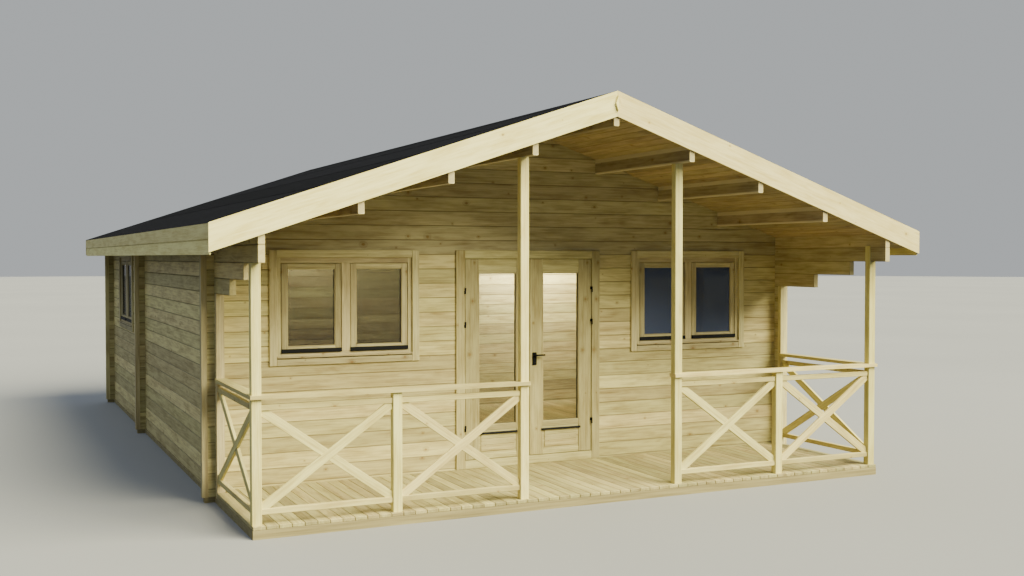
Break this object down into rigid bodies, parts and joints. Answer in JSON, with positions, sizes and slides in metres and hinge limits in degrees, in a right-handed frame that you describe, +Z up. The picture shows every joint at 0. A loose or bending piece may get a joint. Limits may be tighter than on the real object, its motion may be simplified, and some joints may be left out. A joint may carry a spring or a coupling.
{
  "type": "log cabin",
  "caption": "Gabled log cabin with a covered terrace, cross-braced railings, glazed double doors and two-light windows on notched board-log walls.",
  "frame": {"origin": "middle of the cabin's whole footprint, roof overhangs included, on the ground", "axes": "+Z up; -Y is the front with the terrace; +X is the right side seen from the front"},
  "size_m": [6.65, 9.35, 3.4535],
  "materials": {
    "log_wood": "planed bare pine",
    "beam_wood": "planed bare pine",
    "base_timber": "impregnated sawn pine",
    "floor_boards": "planed bare pine",
    "roof_boards": "planed bare pine",
    "trim_boards": "planed bare pine",
    "railing_wood": "planed bare pine",
    "joinery_wood": "planed bare pine",
    "roofing_felt": "matt bitumen felt",
    "clear_glass": "clear",
    "black_metal": "satin black"
  },
  "bodies": {
    "cabin": {"front_sill_log": "log_wood", "front_wall_left": "log_wood", "front_wall_right": "log_wood", "front_gable": "log_wood", "back_wall": "log_wood", "partition_wall": "log_wood", "left_wall": "log_wood", "right_wall": "log_wood", "left_eave_logs": "log_wood", "right_eave_logs": "log_wood", "ridge_purlin": "beam_wood", "left_purlins": "beam_wood", "right_purlins": "beam_wood", "ground_bearers": "base_timber", "terrace_joists": "base_timber", "terrace_deck": "floor_boards", "room_floor": "floor_boards", "roof_lining": "roof_boards", "roof_deck": "roof_boards", "front_barge_boards": "trim_boards", "back_barge_boards": "trim_boards", "eave_fascias": "trim_boards", "log_end_covers": "trim_boards", "corner_posts": "railing_wood", "entrance_posts": "railing_wood", "rail_posts": "railing_wood", "left_handrail": "railing_wood", "right_handrail": "railing_wood", "left_front_panels": "railing_wood", "right_front_panels": "railing_wood", "left_side_panel": "railing_wood", "right_side_panel": "railing_wood", "front_left_window": "joinery_wood", "front_right_window": "joinery_wood", "left_window": "joinery_wood", "right_window": "joinery_wood", "door_frame": "joinery_wood", "roof_felt": "roofing_felt", "window_glass": "clear_glass", "frame_hinges": "black_metal"},
    "left_door": {"left_door_leaf": "joinery_wood", "left_door_glass": "clear_glass", "left_leaf_hinges": "black_metal"},
    "right_door": {"right_door_leaf": "joinery_wood", "right_door_glass": "clear_glass", "door_handle": "black_metal", "right_leaf_hinges": "black_metal"}
  },
  "joints": [
    {"name": "left_door_hinge", "type": "hinge", "parent": "cabin", "child": "left_door", "pos_m": [-0.675, -3.0355, 1.1], "axis": [0, 0, -1], "range_deg": [0, 110]},
    {"name": "right_door_hinge", "type": "hinge", "parent": "cabin", "child": "right_door", "pos_m": [0.675, -3.0355, 1.1], "axis": [0, 0, 1], "range_deg": [0, 110]}
  ]
}
